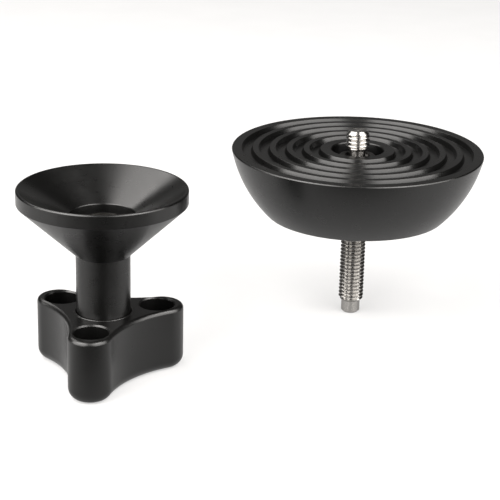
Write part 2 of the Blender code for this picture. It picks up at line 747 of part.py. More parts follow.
def base_washer(collection, surface):
    hole = BASE_SCREW_RADIUS + GAP
    profile = ring(hole, BASE_WASHER_RADIUS, BASE_WASHER_FOOT, BASE_WASHER_TOP)
    mesh = turned("base_washer", profile, PIN_STEPS, closed=True)
    place(mesh, "base_washer", collection, surface, TIE_DOWN_AXIS)


def base_screw(collection, surface):
    """Low-headed socket screw that draws the spindle down on to the knob."""
    foot = BASE_SCREW_HEAD_TOP - BASE_SCREW_HEAD_HEIGHT
    socket_floor = foot + BASE_SCREW_SOCKET_DEPTH

    def profile(angle):
        side = hexagon(angle, BASE_SCREW_ACROSS_FLATS)
        return [
            (0, BASE_SCREW_TOP),
            (BASE_SCREW_RADIUS - BASE_SCREW_CHAMFER, BASE_SCREW_TOP),
            (BASE_SCREW_RADIUS, BASE_SCREW_TOP - BASE_SCREW_CHAMFER),
            (BASE_SCREW_RADIUS, BASE_SCREW_HEAD_TOP),
            (BASE_SCREW_HEAD_RADIUS, BASE_SCREW_HEAD_TOP),
            (BASE_SCREW_HEAD_RADIUS, foot + BASE_SCREW_CHAMFER),
            (BASE_SCREW_HEAD_RADIUS - BASE_SCREW_CHAMFER, foot),
            (side, foot),
            (side, socket_floor),
            (0, socket_floor),
        ]

    mesh = spun("base_screw", profile)
    place(mesh, "base_screw", collection, surface, TIE_DOWN_AXIS)


def build():
    clear_scene()
    parts = new_collection("half_ball_adapter")
    cutters = new_collection("cutters")
    anodised = black_anodised()
    steel = black_steel()
    bright = stainless()
    plastic = black_acetal()

    half_ball(parts, anodised)
    stud_bush(parts, steel)
    stud_washer(parts, steel)
    tripod_stud(parts, bright)

    clamp_cup(parts, anodised)
    tie_down_knob(parts, cutters, anodised)
    spindle(parts, steel)
    thread_insert(parts, bright)
    upper_thrust_washer(parts, plastic)
    lower_thrust_washer(parts, plastic)
    circlip(parts, steel)
    base_washer(parts, steel)
    base_screw(parts, steel)
    knob_grub_screw(parts, steel)


build()
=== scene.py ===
"""The half ball adapter in the photo's view: its finished surfaces, light, floor and camera.

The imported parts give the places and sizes. The pieces that show are made here once more, with
finer steps and softened edges, and each rides on the body of the part that it stands for.
"""

from math import acos, asin, atan2, cos, pi, radians, sin, sqrt

import bmesh
import bpy
from mathutils import Matrix, Vector

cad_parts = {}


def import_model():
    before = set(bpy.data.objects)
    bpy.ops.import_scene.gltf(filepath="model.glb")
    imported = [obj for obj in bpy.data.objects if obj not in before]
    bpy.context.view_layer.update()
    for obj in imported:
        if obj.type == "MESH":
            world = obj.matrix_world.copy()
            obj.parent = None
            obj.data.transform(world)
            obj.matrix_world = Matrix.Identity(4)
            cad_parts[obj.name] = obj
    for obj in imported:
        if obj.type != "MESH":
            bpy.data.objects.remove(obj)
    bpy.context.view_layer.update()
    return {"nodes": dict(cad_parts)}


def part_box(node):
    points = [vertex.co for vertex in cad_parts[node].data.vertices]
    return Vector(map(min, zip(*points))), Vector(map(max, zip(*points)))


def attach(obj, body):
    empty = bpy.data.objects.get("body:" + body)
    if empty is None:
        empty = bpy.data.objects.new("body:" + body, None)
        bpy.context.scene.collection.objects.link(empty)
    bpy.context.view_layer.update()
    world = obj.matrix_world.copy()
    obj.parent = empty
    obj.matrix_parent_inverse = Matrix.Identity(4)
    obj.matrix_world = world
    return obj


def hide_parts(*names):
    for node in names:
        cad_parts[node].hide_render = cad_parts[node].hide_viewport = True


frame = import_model()

MM = 0.001

# Half ball
BALL_RADIUS = 50 * MM
BALL_CENTRE_ABOVE_TOP = 10 * MM
BALL_EDGE_CHAMFER = 0.4 * MM
GROOVE_COUNT = 5
GROOVE_WIDTH = 4.25 * MM
GROOVE_FLOOR_WIDTH = 2.85 * MM
GROOVE_DEPTH = 1.9 * MM
GROOVE_PITCH = 6.58 * MM
FIRST_GROOVE_RADIUS = 16.55 * MM
RECESS_RADIUS = 10.1 * MM
RECESS_CHAMFER = 0.35 * MM
RECESS_BELOW_TOP = 7.35 * MM
BORE_RADIUS = 7 * MM
BUSH_BORE_RADIUS = 6.3 * MM
BUSH_FLANGE_RADIUS = 7.05 * MM
BUSH_FLANGE_HEIGHT = 4.7 * MM
BUSH_SHANK_RADIUS = 6 * MM
BUSH_CHAMFER = 0.3 * MM

# Stud
CAMERA_PITCH = 1.5875 * MM
CAMERA_MAJOR_RADIUS = 4.65 * MM
CAMERA_MINOR_RADIUS = 3.8 * MM
CAMERA_THREAD_LENGTH = 7.85 * MM
CAMERA_LEAD_IN = 0.6 * MM
TAPPED_CLEARANCE = 0.3 * MM
NECK_RADIUS = 3.15 * MM
COLLAR_RADIUS = 6.7 * MM
COLLAR_HEIGHT = 3 * MM
COLLAR_CHAMFER = 0.3 * MM
COLLAR_BELOW_WASHER = 0.3 * MM
STUD_PITCH = 1.5 * MM
STUD_MAJOR_RADIUS = 4.9 * MM
STUD_MINOR_RADIUS = 4.05 * MM
STUD_RELIEF_LENGTH = 1.2 * MM
DOG_RADIUS = 3.7 * MM
DOG_LENGTH = 5 * MM
DOG_CHAMFER = 0.8 * MM
STUD_SOCKET_ACROSS_FLATS = 4 * MM
STUD_SOCKET_DEPTH = 3.5 * MM

# Clamp cup
CUP_RADIUS = 30.35 * MM
CUP_EDGE_CHAMFER = 0.4 * MM
CUP_LIP_WIDTH = 1 * MM
CUP_BAND_HEIGHT = 5 * MM
CUP_CONE_HEIGHT = 19.45 * MM
CUP_DISH_DEPTH = 9.6 * MM
STEM_RADIUS = 9.75 * MM
STEM_CHAMFER = 0.3 * MM
STEM_BORE_RADIUS = 7.8 * MM
POCKET_RADIUS = 11.9 * MM
POCKET_CHAMFER = 0.3 * MM
POCKET_BELOW_WASHER = 0.3 * MM

# Thread insert
INSERT_RADIUS = 5.8 * MM
INSERT_MAJOR_RADIUS = 5.05 * MM
INSERT_MINOR_RADIUS = 4.2 * MM
INSERT_LEAD_IN = 0.4 * MM

# Knob
LOBE_COUNT = 3
LOBE_CENTRE_RADIUS = 22.2 * MM
LOBE_END_RADIUS = 7.9 * MM
WAIST_RADIUS = 15 * MM
KNOB_TOP_FILLET = 1.7 * MM
KNOB_FOOT_FILLET = 4.2 * MM
FRONT_LOBE = radians(-97)
HOLE_CIRCLE_RADIUS = 20.3 * MM
HOLE_RADIUS = 6.3 * MM
HOLE_DEPTH = 13 * MM
HOLE_CHAMFER = 0.5 * MM
SEAT_RADIUS = 10.05 * MM
SEAT_CHAMFER = 0.1 * MM
SEAT_LIP_WIDTH = 0.5 * MM
SEAT_LIP_HEIGHT = 0.2 * MM
SEAT_FLOOR = 17.35 * MM
FOOT_POCKET_RADIUS = 9.8 * MM
FOOT_POCKET_DEPTH = 7.8 * MM
GRUB_HEIGHT = 12.4 * MM
GRUB_HOLE_RADIUS = 2.3 * MM
GRUB_HOLE_FLOOR_RADIUS = 7.5 * MM
GRUB_DIRECTION = FRONT_LOBE - pi / LOBE_COUNT + pi
OVERSHOOT = 1 * MM

# Softening of the turned edges: its reach, the most of a short edge that it takes, and the angle
# from which a corner is flat enough to stay
EDGE_REACH = 0.12 * MM
EDGE_SHARE = 0.4
FLAT_CORNER = radians(160)

# Mesh resolution, the angle from which an edge shades sharp, and what counts as one point
TURNED_STEPS = 160
WALL_STEPS = 36
THREAD_SIDES = 72
CUTTER_STEPS = 96
LOBE_STEPS = 40
FLANK_STEPS = 24
FILLET_SEGMENTS = 8
SHARP_EDGE = radians(35)
TURNED_MERGE = 0.001 * MM
SPUN_MERGE = 0.01 * MM

# One turn of a thread: how far along the pitch, and how far from root to crest
THREAD_CORNERS = (
    (0.07, 0.07),
    (0.125, 0),
    (0.18, 0.07),
    (0.355, 0.51),
    (0.53, 0.95),
    (0.57, 1),
    (0.68, 1),
    (0.72, 0.95),
    (0.895, 0.51),
)

# View, in line with the photo
LENS = 115.2
SENSOR = 36
VIEW_RIGHT_OF_BALL = -40.87 * MM
VIEW_IN_FRONT_OF_BALL = 598.57 * MM
VIEW_HEIGHT = 241.69 * MM
VIEW_TILT_DOWN = radians(19.92)
VIEW_ROLL = radians(1.36)
VIEW_STARTS = 0.05
VIEW_ENDS = 20

# Colours: black dye and where it is worn, both steels, and the dull plastic's two shades
DYE = (0.0016, 0.0016, 0.0015)
WORN_DYE = (0.06, 0.058, 0.056)
STAINLESS = (0.44, 0.427, 0.408)
BLACK_STEEL = (0.05, 0.048, 0.045)
ACETAL_DARK = (0.014, 0.014, 0.014)
ACETAL_LIGHT = (0.022, 0.022, 0.021)
BLACK = (0, 0, 0)
WHITE = (1, 1, 1)

# Patterns, in waves per metre: wear, handling, shades, tool marks and the finest grain. Nearly
# all of a noise lies between NOISE_LEAST and NOISE_MOST.
NOISE_LEAST = 0.3
NOISE_MOST = 0.7
WEAR_PATTERN = 90
DYE_HANDLING_PATTERN = 260
DYE_TOOL_PATTERN = 2600
DYE_GRAIN_PATTERN = 5200
STEEL_SHADE_PATTERN = 900
STEEL_HANDLING_PATTERN = 420
STEEL_TOOL_PATTERN = 6000
ACETAL_SHADE_PATTERN = 700
ACETAL_HANDLING_PATTERN = 500
ACETAL_TOOL_PATTERN = 3000
FLOOR_PATTERN = 30

# Worn edges: how far from an edge they reach, the cosines between the true normal and the
# rounded one at which an edge counts fully and not at all, the samples that find it, and the
# least and the most that its wear shows
WORN_REACH = 0.18 * MM
WORN_FULLY = 0.8
WORN_NOT_AT_ALL = 0.99
WORN_SAMPLES = 6
WEAR_LEAST = 0.15
WEAR_MOST = 0.6

# Finishes: what a dye's tool marks do to its roughness, how much the angle counts in a tool's
# path, how much darker a steel's dark shade is, and the quarter turn that draws highlights out
# across the tool marks
TOOL_MARK_ROUGHNESS = 0.01
TOOL_PATH_TWIST = 0.0004
STEEL_DARKER = 0.82
ACROSS_THE_MARKS = 0.25

# Studio: the room's grey as the object mirrors it, and the floor. As the object mirrors it, the
# floor carries painted shade that the camera doesn't see. The constants give the painted shade's
# patch in front, below the camera (its middle, radius and fade), then the share of the floor's
# brightness that the painted shade leaves in the patch, and the share it leaves elsewhere.
# Its grain takes up to FLOOR_GRAIN off its brightness.
ROOM = (0.03, 0.03, 0.03)
LAMP_COLOUR = (1, 0.975, 0.95)
PAINTED_SHADE_MIDDLE = (0, -0.4, 0)
PAINTED_SHADE_RADIUS = 0.25
PAINTED_SHADE_FADE = 0.13
PAINTED_SHADE_KEEPS = 0.02
PAINTED_SHADE_ELSEWHERE_KEEPS = 0.7
FLOOR_GRAIN = 0.02
FLOOR_GLOW = 0.45
FLOOR_COLOUR = (0.3, 0.3, 0.3)
FLOOR_ROUGHNESS = 0.9
FLOOR_SPECULAR = 0.1
FLOOR_HALF_WIDTH = 3


def axis_of(node):
    """Where a turned part's axis stands."""
    low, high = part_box(node)
    return Vector(((low.x + high.x) / 2, (low.y + high.y) / 2, 0))


BALL_AXIS = axis_of("half_ball")
TIE_DOWN_AXIS = axis_of("clamp_cup")
STUD_BELOW_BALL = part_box("half_ball")[0].z
BALL_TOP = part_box("half_ball")[1].z
BUSH_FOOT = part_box("stud_bush")[0].z
BUSH_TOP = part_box("stud_bush")[1].z
CAMERA_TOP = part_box("tripod_stud")[1].z
COLLAR_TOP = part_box("stud_washer")[0].z - COLLAR_BELOW_WASHER
CUP_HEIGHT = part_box("clamp_cup")[1].z
STEM_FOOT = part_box("clamp_cup")[0].z
POCKET_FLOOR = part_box("upper_thrust_washer")[0].z - POCKET_BELOW_WASHER
INSERT_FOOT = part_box("thread_insert")[0].z
INSERT_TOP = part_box("thread_insert")[1].z
KNOB_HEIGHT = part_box("tie_down_knob")[1].z
RIM_RADIUS = sqrt(BALL_RADIUS**2 - BALL_CENTRE_ABOVE_TOP**2)


def finished_mesh(name, data, set_up):
    """The mesh that an object with this data and these modifiers makes."""
    obj = bpy.data.objects.new(name, data)
    bpy.context.scene.collection.objects.link(obj)
    set_up(obj)
    bpy.context.view_layer.update()
    graph = bpy.context.evaluated_depsgraph_get()
    mesh = bpy.data.meshes.new_from_object(obj.evaluated_get(graph))
    mesh.name = name
    bpy.data.objects.remove(obj)
    return mesh


def turned(name, profile, steps, closed=True):
    """A profile of (radius, height), running down its outer side, turned about Z."""
    outline = bpy.data.meshes.new(name)
    edges = [(i, i + 1) for i in range(len(profile) - 1)]
    if closed:
        edges.append((len(profile) - 1, 0))
    outline.from_pydata([(radius, 0, height) for radius, height in profile], edges, [])

    def turn(obj):
        screw = obj.modifiers.new("Turn", "SCREW")
        screw.steps = steps
        screw.render_steps = steps
        screw.use_merge_vertices = True
        screw.merge_threshold = TURNED_MERGE

    return finished_mesh(name, outline, turn)


def spun(name, profile_at, closed=False):
    """A turned piece whose profile changes with the angle, as a thread's or a hexagon's does."""
    shape = bmesh.new()
    columns = []
    for side in range(THREAD_SIDES + 1):
        angle = 2 * pi * side / THREAD_SIDES
        column = [
            shape.verts.new((radius * cos(angle), radius * sin(angle), height))
            for radius, height in profile_at(angle)
        ]
        columns.append(column + column[:1] if closed else column)
    for left, right in zip(columns, columns[1:]):
        for i in range(len(left) - 1):
            shape.faces.new((left[i], left[i + 1], right[i + 1], right[i]))
    bmesh.ops.remove_doubles(shape, verts=shape.verts, dist=SPUN_MERGE)
    mesh = bpy.data.meshes.new(name)
    shape.to_mesh(mesh)
    shape.free()
    return mesh


def thread(angle, top, foot, pitch, crest, root, top_lead_in, foot_lead_in):
    """One angle's points of a right-hand thread, from top to foot.

    Each end has a 45 degree chamfer that reaches past the root by its lead-in.
    An inside thread has its root further out than its crest.
    """
    outwards = 1 if root > crest else -1
    points = []
    for turn in range(int((top - foot) / pitch) + 1, -3, -1):
        for share, rise in reversed(THREAD_CORNERS):
            height = foot + (turn + share + angle / (2 * pi)) * pitch
            height = min(max(height, foot), top)
            depths = (
                outwards * (root + rise * (crest - root)),
                outwards * root + top_lead_in - (top - height),
                outwards * root + foot_lead_in - (height - foot),
            )
            points.append((outwards * max(depths), height))
    return points


def hexagon(angle, across_flats):
    """Distance from the middle of a hexagon to its side, at an angle."""
    return across_flats / 2 / cos(angle % (pi / 3) - pi / 6)


def arc(centre_radius, centre_height, radius, start, end, steps):
    """Points of an arc in a profile, both ends included."""
    angles = [start + (end - start) * i / steps for i in range(steps + 1)]
    return [(centre_radius + radius * cos(a), centre_height + radius * sin(a)) for a in angles]


def softened(profile):
    """A closed profile with each real corner turned into a small curve."""
    points = []
    for last, here, following in zip(profile[-1:] + profile[:-1], profile, profile[1:] + profile[:1]):
        corner = Vector(here)
        back = Vector(last) - corner
        onward = Vector(following) - corner
        if back.angle(onward) > FLAT_CORNER:
            points.append(here)
            continue
        start = corner + back.normalized() * min(EDGE_REACH, back.length * EDGE_SHARE)
        end = corner + onward.normalized() * min(EDGE_REACH, onward.length * EDGE_SHARE)
        for share in (0, 0.33, 0.67, 1):
            point = start * (1 - share) ** 2 + corner * 2 * share * (1 - share) + end * share**2
            points.append((point.x, point.y))
    return points


def show(mesh, name, surface, axis, body, slot, *nodes):
    """A finished piece on its body, in place of the parts that it stands for."""
    mesh.materials.clear()
    mesh.materials.append(surface)
    mesh.shade_smooth()
    mesh.set_sharp_from_angle(angle=SHARP_EDGE)
    piece = bpy.data.objects.new(name, mesh)
    piece.location = axis
    bpy.context.scene.collection.objects.link(piece)
    even = piece.modifiers.new("Even shading", "WEIGHTED_NORMAL")
    even.keep_sharp = True
    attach(piece, body)
    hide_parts(*nodes)
    return piece


def grooves():
    """The platform's flat-bottomed grooves, from the middle outwards."""
    floor = BALL_TOP - GROOVE_DEPTH
    points = []
    for i in range(GROOVE_COUNT):
        middle = FIRST_GROOVE_RADIUS + i * GROOVE_PITCH
        points += [
            (middle - GROOVE_WIDTH / 2, BALL_TOP),
            (middle - GROOVE_FLOOR_WIDTH / 2, floor),
            (middle + GROOVE_FLOOR_WIDTH / 2, floor),
            (middle + GROOVE_WIDTH / 2, BALL_TOP),
        ]
    return points


def half_ball_mesh():
    """Grooved platform, spherical wall, and the recess and bore for the bush and stud."""
    centre = BALL_TOP + BALL_CENTRE_ABOVE_TOP
    wall_start = -asin((BALL_CENTRE_ABOVE_TOP + BALL_EDGE_CHAMFER) / BALL_RADIUS)
    wall_end = -asin((centre - STUD_BELOW_BALL) / BALL_RADIUS)
    profile = [(RECESS_RADIUS, BALL_TOP - RECESS_CHAMFER)]
    profile.append((RECESS_RADIUS + RECESS_CHAMFER, BALL_TOP))
    profile += grooves()
    profile.append((RIM_RADIUS - BALL_EDGE_CHAMFER, BALL_TOP))
    profile += arc(0, centre, BALL_RADIUS, wall_start, wall_end, WALL_STEPS)
    profile += [
        (BORE_RADIUS + BALL_EDGE_CHAMFER, STUD_BELOW_BALL),
        (BORE_RADIUS, STUD_BELOW_BALL + BALL_EDGE_CHAMFER),
        (BORE_RADIUS, BUSH_FOOT),
        (BUSH_BORE_RADIUS, BUSH_FOOT),
        (BUSH_BORE_RADIUS, BALL_TOP - RECESS_BELOW_TOP),
        (RECESS_RADIUS, BALL_TOP - RECESS_BELOW_TOP),
    ]
    return turned("half_ball_turned", softened(profile), TURNED_STEPS)


def bush_mesh():
    """Flanged bush, tapped for the camera thread."""

    def profile(angle):
        outside = [
            (BUSH_FLANGE_RADIUS - BUSH_CHAMFER, BUSH_TOP),
            (BUSH_FLANGE_RADIUS, BUSH_TOP - BUSH_CHAMFER),
            (BUSH_FLANGE_RADIUS, BUSH_TOP - BUSH_FLANGE_HEIGHT),
            (BUSH_SHANK_RADIUS, BUSH_TOP - BUSH_FLANGE_HEIGHT),
            (BUSH_SHANK_RADIUS, BUSH_FOOT),
        ]
        crest = CAMERA_MINOR_RADIUS + TAPPED_CLEARANCE
        root = CAMERA_MAJOR_RADIUS + TAPPED_CLEARANCE
        inside = thread(angle, BUSH_TOP, BUSH_FOOT, CAMERA_PITCH, crest, root, 0, 0)
        return outside + inside[::-1]

    return spun("stud_bush_turned", profile, closed=True)


def stud_mesh():
    """Camera thread, neck, collar, long thread and dog point with a hexagon socket."""
    collar_foot = COLLAR_TOP - COLLAR_HEIGHT

    def profile(angle):
        camera = thread(
            angle,
            CAMERA_TOP,
            CAMERA_TOP - CAMERA_THREAD_LENGTH,
            CAMERA_PITCH,
            CAMERA_MAJOR_RADIUS,
            CAMERA_MINOR_RADIUS,
            CAMERA_LEAD_IN,
            CAMERA_MINOR_RADIUS - NECK_RADIUS,
        )
        collar = [
            (NECK_RADIUS, COLLAR_TOP),
            (COLLAR_RADIUS - COLLAR_CHAMFER, COLLAR_TOP),
            (COLLAR_RADIUS, COLLAR_TOP - COLLAR_CHAMFER),
            (COLLAR_RADIUS, collar_foot + COLLAR_CHAMFER),
            (COLLAR_RADIUS - COLLAR_CHAMFER, collar_foot),
            (STUD_MINOR_RADIUS, collar_foot),
        ]
        long_thread = thread(
            angle,
            collar_foot - STUD_RELIEF_LENGTH,
            DOG_LENGTH,
            STUD_PITCH,
            STUD_MAJOR_RADIUS,
            STUD_MINOR_RADIUS,
            0,
            STUD_MINOR_RADIUS - DOG_RADIUS,
        )
        side = hexagon(angle, STUD_SOCKET_ACROSS_FLATS)
        tip = [
            (DOG_RADIUS, DOG_CHAMFER),
            (DOG_RADIUS - DOG_CHAMFER, 0),
            (side, 0),
            (side, STUD_SOCKET_DEPTH),
            (0, STUD_SOCKET_DEPTH),
        ]
        return [(0, CAMERA_TOP)] + camera + collar + long_thread + tip

    return spun("tripod_stud_threaded", profile)


def cup_mesh():
    """Dish, rim band, cone and hollow stem, with the pocket for the washer and circlip."""
    dish_foot = CUP_HEIGHT - CUP_DISH_DEPTH
    band_foot = CUP_HEIGHT - CUP_BAND_HEIGHT
    profile = [
        (CUP_RADIUS - CUP_LIP_WIDTH, CUP_HEIGHT),
        (CUP_RADIUS - CUP_EDGE_CHAMFER, CUP_HEIGHT),
        (CUP_RADIUS, CUP_HEIGHT - CUP_EDGE_CHAMFER),
        (CUP_RADIUS, band_foot),
        (STEM_RADIUS, band_foot - CUP_CONE_HEIGHT),
        (STEM_RADIUS, STEM_FOOT + STEM_CHAMFER),
        (STEM_RADIUS - STEM_CHAMFER, STEM_FOOT),
        (STEM_BORE_RADIUS, STEM_FOOT),
        (STEM_BORE_RADIUS, POCKET_FLOOR),
        (POCKET_RADIUS, POCKET_FLOOR),
        (POCKET_RADIUS, dish_foot - POCKET_CHAMFER),
        (POCKET_RADIUS + POCKET_CHAMFER, dish_foot),
    ]
    return turned("clamp_cup_turned", softened(profile), TURNED_STEPS)


def insert_mesh():
    """Plain outside, tapped inside for the half ball's stud."""

    def profile(angle):
        inside = thread(
            angle,
            INSERT_TOP,
            INSERT_FOOT,
            STUD_PITCH,
            INSERT_MINOR_RADIUS,
            INSERT_MAJOR_RADIUS,
            INSERT_LEAD_IN,
            0,
        )
        return [(INSERT_RADIUS, INSERT_TOP), (INSERT_RADIUS, INSERT_FOOT)] + inside[::-1]

    return spun("thread_insert_tapped", profile, closed=True)


def knob_outline():
    """Round lobe ends joined by hollow flanks that meet them without a corner."""
    half_step = pi / LOBE_COUNT
    along = LOBE_CENTRE_RADIUS * cos(half_step)
    apart_squared = WAIST_RADIUS**2 + LOBE_CENTRE_RADIUS**2 - 2 * WAIST_RADIUS * along
    flank = (apart_squared - LOBE_END_RADIUS**2) / (2 * (LOBE_END_RADIUS + along - WAIST_RADIUS))
    lobe = Vector((LOBE_CENTRE_RADIUS, 0))
    hollow = Vector((cos(half_step), sin(half_step))) * (WAIST_RADIUS + flank)
    apart = hollow - lobe
    lobe_spread = atan2(apart.y, apart.x)
    flank_spread = acos(hollow.dot(apart) / hollow.length / apart.length)
    inwards = half_step + pi
    start = inwards + flank_spread
    end = inwards - flank_spread
    points = arc(lobe.x, lobe.y, LOBE_END_RADIUS, -lobe_spread, lobe_spread, LOBE_STEPS)
    points += arc(hollow.x, hollow.y, flank, start, end, FLANK_STEPS)[1:-1]
    outline = []
    for i in range(LOBE_COUNT):
        turn = Matrix.Rotation(FRONT_LOBE + 2 * half_step * i, 2)
        outline += [turn @ Vector(point) for point in points]
    return outline


def knob_blank():
    """The knob before drilling, its rim edges marked for a small and a large fillet."""
    shape = bmesh.new()
    foot = [shape.verts.new((x, y, 0)) for x, y in knob_outline()]
    top = [shape.verts.new((vert.co.x, vert.co.y, KNOB_HEIGHT)) for vert in foot]
    shape.faces.new(top)
    shape.faces.new(foot[::-1])
    for i in range(len(foot)):
        shape.faces.new((foot[i - 1], foot[i], top[i], top[i - 1]))
    weights = shape.edges.layers.float.new("bevel_weight_edge")
    for edge in shape.edges:
        heights = [vert.co.z for vert in edge.verts]
        if min(heights) > KNOB_HEIGHT / 2:
            edge[weights] = KNOB_TOP_FILLET / KNOB_FOOT_FILLET
        elif max(heights) < KNOB_HEIGHT / 2:
            edge[weights] = 1
    mesh = bpy.data.meshes.new("knob_blank")
    shape.to_mesh(mesh)
    shape.free()
    return mesh


def cutter(mesh, where):
    """A drill's shape, out of sight."""
    obj = bpy.data.objects.new(mesh.name, mesh)
    obj.location = where
    obj.hide_render = True
    bpy.context.scene.collection.objects.link(obj)
    return obj


def knob_cutters():
    """The stem's bore, the lobes' blind holes and the grub screw's hole."""
    above = KNOB_HEIGHT + OVERSHOOT
    bore = [
        (0, above),
        (SEAT_RADIUS + OVERSHOOT - SEAT_LIP_HEIGHT + SEAT_CHAMFER, above),
        (SEAT_RADIUS, KNOB_HEIGHT + SEAT_LIP_HEIGHT - SEAT_CHAMFER),
        (SEAT_RADIUS, SEAT_FLOOR),
        (STEM_BORE_RADIUS, SEAT_FLOOR),
        (STEM_BORE_RADIUS, FOOT_POCKET_DEPTH),
        (FOOT_POCKET_RADIUS, FOOT_POCKET_DEPTH),
        (FOOT_POCKET_RADIUS, -OVERSHOOT),
        (0, -OVERSHOOT),
    ]
    hole = [
        (0, above),
        (HOLE_RADIUS + OVERSHOOT + HOLE_CHAMFER, above),
        (HOLE_RADIUS, KNOB_HEIGHT - HOLE_CHAMFER),
        (HOLE_RADIUS, KNOB_HEIGHT - HOLE_DEPTH),
        (0, KNOB_HEIGHT - HOLE_DEPTH),
    ]
    grub = [
        (0, WAIST_RADIUS + OVERSHOOT),
        (GRUB_HOLE_RADIUS, WAIST_RADIUS + OVERSHOOT),
        (GRUB_HOLE_RADIUS, GRUB_HOLE_FLOOR_RADIUS),
        (0, GRUB_HOLE_FLOOR_RADIUS),
    ]
    made = [cutter(turned("knob_bore_cutter", bore, CUTTER_STEPS, False), (0, 0, 0))]
    drill = turned("lobe_hole_cutter", hole, CUTTER_STEPS, False)
    for i in range(LOBE_COUNT):
        direction = FRONT_LOBE + 2 * pi * i / LOBE_COUNT
        middle = Vector((cos(direction), sin(direction), 0)) * HOLE_CIRCLE_RADIUS
        made.append(cutter(drill, middle))
    lying = turned("grub_hole_cutter", grub, CUTTER_STEPS, False)
    turn = Matrix.Rotation(GRUB_DIRECTION, 4, "Z") @ Matrix.Rotation(pi / 2, 4, "Y")
    lying.transform(Matrix.Translation((0, 0, GRUB_HEIGHT)) @ turn)
    made.append(cutter(lying, (0, 0, 0)))
    return made


def seat_lip():
    """The low raised edge round the bore that the stem stands in."""
    lip_top = KNOB_HEIGHT + SEAT_LIP_HEIGHT
    outside = SEAT_RADIUS + SEAT_LIP_WIDTH
    profile = [
        (SEAT_RADIUS - OVERSHOOT, lip_top),
        (outside - SEAT_LIP_HEIGHT, lip_top),
        (outside, KNOB_HEIGHT),
        (outside, KNOB_HEIGHT - OVERSHOOT),
        (SEAT_RADIUS - OVERSHOOT, KNOB_HEIGHT - OVERSHOOT),
    ]
    return cutter(turned("seat_lip", profile, CUTTER_STEPS), (0, 0, 0))


def knob_mesh():
    """The filleted blank with its raised lip, drilled."""
    cutters = knob_cutters()
    lip = seat_lip()

    def set_up(obj):
        fillet = obj.modifiers.new("Fillets", "BEVEL")
        fillet.limit_method = "WEIGHT"
        fillet.width = KNOB_FOOT_FILLET
        fillet.segments = FILLET_SEGMENTS
        fillet.use_clamp_overlap = False
        raised = obj.modifiers.new("Lip", "BOOLEAN")
        raised.operation = "UNION"
        raised.solver = "EXACT"
        raised.object = lip
        for made in cutters:
            hollow = obj.modifiers.new(made.name, "BOOLEAN")
            hollow.operation = "DIFFERENCE"
            hollow.solver = "EXACT"
            hollow.object = made

    mesh = finished_mesh("knob_milled", knob_blank(), set_up)
    for made in cutters + [lip]:
        bpy.data.objects.remove(made)
    return mesh


def maths(tree, operation, first, second):
    """The outcome of an operation on two values, each a socket or a number."""
    made = tree.nodes.new("ShaderNodeMath")
    made.operation = operation
    for socket, value in zip(made.inputs, (first, second)):
        if isinstance(value, (int, float)):
            socket.default_value = value
        else:
            tree.links.new(value, socket)
    return made.outputs[0]


def noise(tree, vector, scale, detail):
    """Soft random patches from 0 to 1, this many to the metre."""
    made = tree.nodes.new("ShaderNodeTexNoise")
    made.inputs["Scale"].default_value = scale
    made.inputs["Detail"].default_value = detail
    tree.links.new(vector, made.inputs["Vector"])
    return made.outputs["Fac"]


def between(tree, value, low, high):
    """A noise spread over another range."""
    made = tree.nodes.new("ShaderNodeMapRange")
    made.inputs["From Min"].default_value = NOISE_LEAST
    made.inputs["From Max"].default_value = NOISE_MOST
    made.inputs["To Min"].default_value = low
    made.inputs["To Max"].default_value = high
    tree.links.new(value, made.inputs["Value"])
    return made.outputs["Result"]


def bump(tree, height, distance, normal=None):
    """The normal of a surface that rises and falls with a pattern by up to this distance."""
    made = tree.nodes.new("ShaderNodeBump")
    made.inputs["Strength"].default_value = 1
    made.inputs["Distance"].default_value = distance
    tree.links.new(height, made.inputs["Height"])
    if normal is not None:
        tree.links.new(normal, made.inputs["Normal"])
    return made.outputs["Normal"]


def turning_coordinates(tree, axis):
    """Distance from the axis, height and a little of the angle: the tool's path on the lathe."""
    place = tree.nodes.new("ShaderNodeTexCoord").outputs["Object"]
    offset = tree.nodes.new("ShaderNodeVectorMath")
    offset.operation = "SUBTRACT"
    offset.inputs[1].default_value = axis
    tree.links.new(place, offset.inputs[0])
    parts = tree.nodes.new("ShaderNodeSeparateXYZ")
    tree.links.new(offset.outputs[0], parts.inputs[0])
    x_squared = maths(tree, "MULTIPLY", parts.outputs["X"], parts.outputs["X"])
    y_squared = maths(tree, "MULTIPLY", parts.outputs["Y"], parts.outputs["Y"])
    radius = maths(tree, "SQRT", maths(tree, "ADD", x_squared, y_squared), 0)
    angle = maths(tree, "ARCTAN2", parts.outputs["Y"], parts.outputs["X"])
    made = tree.nodes.new("ShaderNodeCombineXYZ")
    tree.links.new(radius, made.inputs["X"])
    tree.links.new(parts.outputs["Z"], made.inputs["Y"])
    tree.links.new(maths(tree, "MULTIPLY", angle, TOOL_PATH_TWIST), made.inputs["Z"])
    return made.outputs[0]


def worn_edges(tree):
    """Where the piece has edges, from 0 to 1, and the normal that it has with them rounded."""
    rounded = tree.nodes.new("ShaderNodeBevel")
    rounded.samples = WORN_SAMPLES
    rounded.inputs["Radius"].default_value = WORN_REACH
    geometry = tree.nodes.new("ShaderNodeNewGeometry")
    turn = tree.nodes.new("ShaderNodeVectorMath")
    turn.operation = "DOT_PRODUCT"
    tree.links.new(rounded.outputs[0], turn.inputs[0])
    tree.links.new(geometry.outputs["Normal"], turn.inputs[1])
    spread = tree.nodes.new("ShaderNodeMapRange")
    spread.inputs["From Min"].default_value = WORN_NOT_AT_ALL
    spread.inputs["From Max"].default_value = WORN_FULLY
    tree.links.new(turn.outputs["Value"], spread.inputs["Value"])
    return spread.outputs["Result"], rounded.outputs[0]


def blended(tree, share, first, second):
    """A mix of two colours, by this share of the second."""
    made = tree.nodes.new("ShaderNodeMix")
    made.data_type = "RGBA"
    made.inputs["A"].default_value = (*first, 1)
    made.inputs["B"].default_value = (*second, 1)
    tree.links.new(share, made.inputs["Factor"])
    return made.outputs["Result"]


